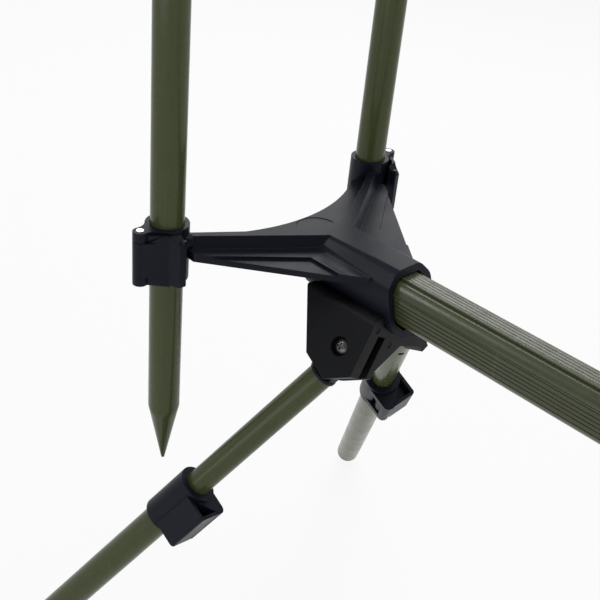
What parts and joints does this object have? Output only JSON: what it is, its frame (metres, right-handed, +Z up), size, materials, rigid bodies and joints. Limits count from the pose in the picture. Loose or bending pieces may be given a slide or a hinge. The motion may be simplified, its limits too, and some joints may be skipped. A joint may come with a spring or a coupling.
{
  "type": "rod pod",
  "caption": "Free-standing fishing rod pod: ribbed pole between Y-shaped hubs, folding telescopic legs with cam-lever locks, clamped uprights and threaded rod bars.",
  "frame": {"origin": "on the ground, under the middle of the pole", "axes": "+X along the pole towards the rear rod bar, +Z up, +Y to the left; the pictured hub is at -X"},
  "size_m": [1.1272, 0.3666, 0.6019],
  "materials": {
    "olive_pole": "satin olive paint on a ribbed aluminium extrusion",
    "olive_tube": "semi-gloss olive paint on round aluminium tube",
    "charcoal_plastic": "satin charcoal moulded plastic",
    "bracket_plastic": "fine-grained black moulded plastic",
    "black_nylon": "plain black nylon",
    "black_rubber": "matte black rubber",
    "bright_steel": "bright nickel-plated steel",
    "insert_brass": "plain turned brass"
  },
  "bodies": {
    "frame": {"main_pole": "olive_pole", "front_hub": "charcoal_plastic", "rear_hub": "charcoal_plastic", "front_leg_bracket": "bracket_plastic", "rear_leg_bracket": "bracket_plastic", "bracket_bolts": "bright_steel", "bracket_nuts": "bright_steel", "pivot_screws": "bright_steel", "clamp_pins": "bright_steel"},
    "front_bar_frame": {"front_right_upright": "olive_tube", "front_left_upright": "olive_tube", "front_rod_bar": "olive_tube", "front_bar_sockets": "charcoal_plastic", "front_bar_caps": "black_rubber", "front_rest_inserts": "insert_brass"},
    "front_right_clamp_lever": {"front_right_clamp_lever": "charcoal_plastic"},
    "front_right_upper_leg": {"front_right_leg_joint": "charcoal_plastic", "front_right_upper_tube": "olive_tube", "front_right_guide_bush": "black_nylon"},
    "front_right_lower_leg": {"front_right_lower_tube": "olive_tube", "front_right_lock_collar": "charcoal_plastic", "front_right_lock_pin": "bright_steel", "front_right_foot": "black_rubber"},
    "front_right_lock_lever": {"front_right_lock_lever": "charcoal_plastic"},
    "front_left_clamp_lever": {"front_left_clamp_lever": "charcoal_plastic"},
    "front_left_upper_leg": {"front_left_leg_joint": "charcoal_plastic", "front_left_upper_tube": "olive_tube", "front_left_guide_bush": "black_nylon"},
    "front_left_lower_leg": {"front_left_lower_tube": "olive_tube", "front_left_lock_collar": "charcoal_plastic", "front_left_lock_pin": "bright_steel", "front_left_foot": "black_rubber"},
    "front_left_lock_lever": {"front_left_lock_lever": "charcoal_plastic"},
    "rear_bar_frame": {"rear_right_upright": "olive_tube", "rear_left_upright": "olive_tube", "rear_rod_bar": "olive_tube", "rear_bar_sockets": "charcoal_plastic", "rear_bar_caps": "black_rubber", "rear_rest_inserts": "insert_brass"},
    "rear_right_clamp_lever": {"rear_right_clamp_lever": "charcoal_plastic"},
    "rear_right_upper_leg": {"rear_right_leg_joint": "charcoal_plastic", "rear_right_upper_tube": "olive_tube", "rear_right_guide_bush": "black_nylon"},
    "rear_right_lower_leg": {"rear_right_lower_tube": "olive_tube", "rear_right_lock_collar": "charcoal_plastic", "rear_right_lock_pin": "bright_steel", "rear_right_foot": "black_rubber"},
    "rear_right_lock_lever": {"rear_right_lock_lever": "charcoal_plastic"},
    "rear_left_clamp_lever": {"rear_left_clamp_lever": "charcoal_plastic"},
    "rear_left_upper_leg": {"rear_left_leg_joint": "charcoal_plastic", "rear_left_upper_tube": "olive_tube", "rear_left_guide_bush": "black_nylon"},
    "rear_left_lower_leg": {"rear_left_lower_tube": "olive_tube", "rear_left_lock_collar": "charcoal_plastic", "rear_left_lock_pin": "bright_steel", "rear_left_foot": "black_rubber"},
    "rear_left_lock_lever": {"rear_left_lock_lever": "charcoal_plastic"}
  },
  "joints": [
    {"name": "front_bar_height", "type": "slide", "parent": "frame", "child": "front_bar_frame", "axis": [0, 0, 1], "range_m": [-0.12, 0.08]},
    {"name": "front_right_clamp_turn", "type": "hinge", "parent": "frame", "child": "front_right_clamp_lever", "pos_m": [-0.5, -0.1001, 0.32764], "axis": [0, 0, 1], "range_deg": [-75, 0]},
    {"name": "front_right_leg_fold", "type": "hinge", "parent": "frame", "child": "front_right_upper_leg", "pos_m": [-0.4062, -0.02487, 0.28958], "axis": [0, -0.8829, 0.4695], "range_deg": [0, 115]},
    {"name": "front_right_leg_length", "type": "slide", "parent": "front_right_upper_leg", "child": "front_right_lower_leg", "axis": [0.4226, 0.4255, 0.8002], "range_m": [-0.04, 0.085]},
    {"name": "front_right_lock_turn", "type": "hinge", "parent": "front_right_lower_leg", "child": "front_right_lock_lever", "pos_m": [-0.45699, -0.08298, 0.15516], "axis": [-0.4226, -0.4255, -0.8002], "range_deg": [-75, 0]},
    {"name": "front_left_clamp_turn", "type": "hinge", "parent": "frame", "child": "front_left_clamp_lever", "pos_m": [-0.5, 0.1001, 0.32764], "axis": [0, 0, -1], "range_deg": [-68, 7]},
    {"name": "front_left_leg_fold", "type": "hinge", "parent": "frame", "child": "front_left_upper_leg", "pos_m": [-0.4062, 0.02487, 0.28958], "axis": [0, -0.8829, -0.4695], "range_deg": [0, 115]},
    {"name": "front_left_leg_length", "type": "slide", "parent": "front_left_upper_leg", "child": "front_left_lower_leg", "axis": [0.4226, -0.4255, 0.8002], "range_m": [-0.04, 0.064]},
    {"name": "front_left_lock_turn", "type": "hinge", "parent": "front_left_lower_leg", "child": "front_left_lock_lever", "pos_m": [-0.44769, 0.07362, 0.17277], "axis": [0.4226, -0.4255, 0.8002], "range_deg": [-75, 0]},
    {"name": "rear_bar_height", "type": "slide", "parent": "frame", "child": "rear_bar_frame", "axis": [0, 0, 1], "range_m": [-0.12, 0.08]},
    {"name": "rear_right_clamp_turn", "type": "hinge", "parent": "frame", "child": "rear_right_clamp_lever", "pos_m": [0.5, -0.1001, 0.32764], "axis": [0, 0, -1], "range_deg": [-75, 0]},
    {"name": "rear_right_leg_fold", "type": "hinge", "parent": "frame", "child": "rear_right_upper_leg", "pos_m": [0.4062, -0.02487, 0.28958], "axis": [0, 0.8829, -0.4695], "range_deg": [0, 115]},
    {"name": "rear_right_leg_length", "type": "slide", "parent": "rear_right_upper_leg", "child": "rear_right_lower_leg", "axis": [-0.4226, 0.4255, 0.8002], "range_m": [-0.04, 0.085]},
    {"name": "rear_right_lock_turn", "type": "hinge", "parent": "rear_right_lower_leg", "child": "rear_right_lock_lever", "pos_m": [0.45699, -0.08298, 0.15516], "axis": [-0.4226, 0.4255, 0.8002], "range_deg": [-75, 0]},
    {"name": "rear_left_clamp_turn", "type": "hinge", "parent": "frame", "child": "rear_left_clamp_lever", "pos_m": [0.5, 0.1001, 0.32764], "axis": [0, 0, 1], "range_deg": [-75, 0]},
    {"name": "rear_left_leg_fold", "type": "hinge", "parent": "frame", "child": "rear_left_upper_leg", "pos_m": [0.4062, 0.02487, 0.28958], "axis": [0, 0.8829, 0.4695], "range_deg": [0, 115]},
    {"name": "rear_left_leg_length", "type": "slide", "parent": "rear_left_upper_leg", "child": "rear_left_lower_leg", "axis": [-0.4226, -0.4255, 0.8002], "range_m": [-0.04, 0.064]},
    {"name": "rear_left_lock_turn", "type": "hinge", "parent": "rear_left_lower_leg", "child": "rear_left_lock_lever", "pos_m": [0.44769, 0.07362, 0.17277], "axis": [0.4226, 0.4255, -0.8002], "range_deg": [-75, 0]}
  ]
}
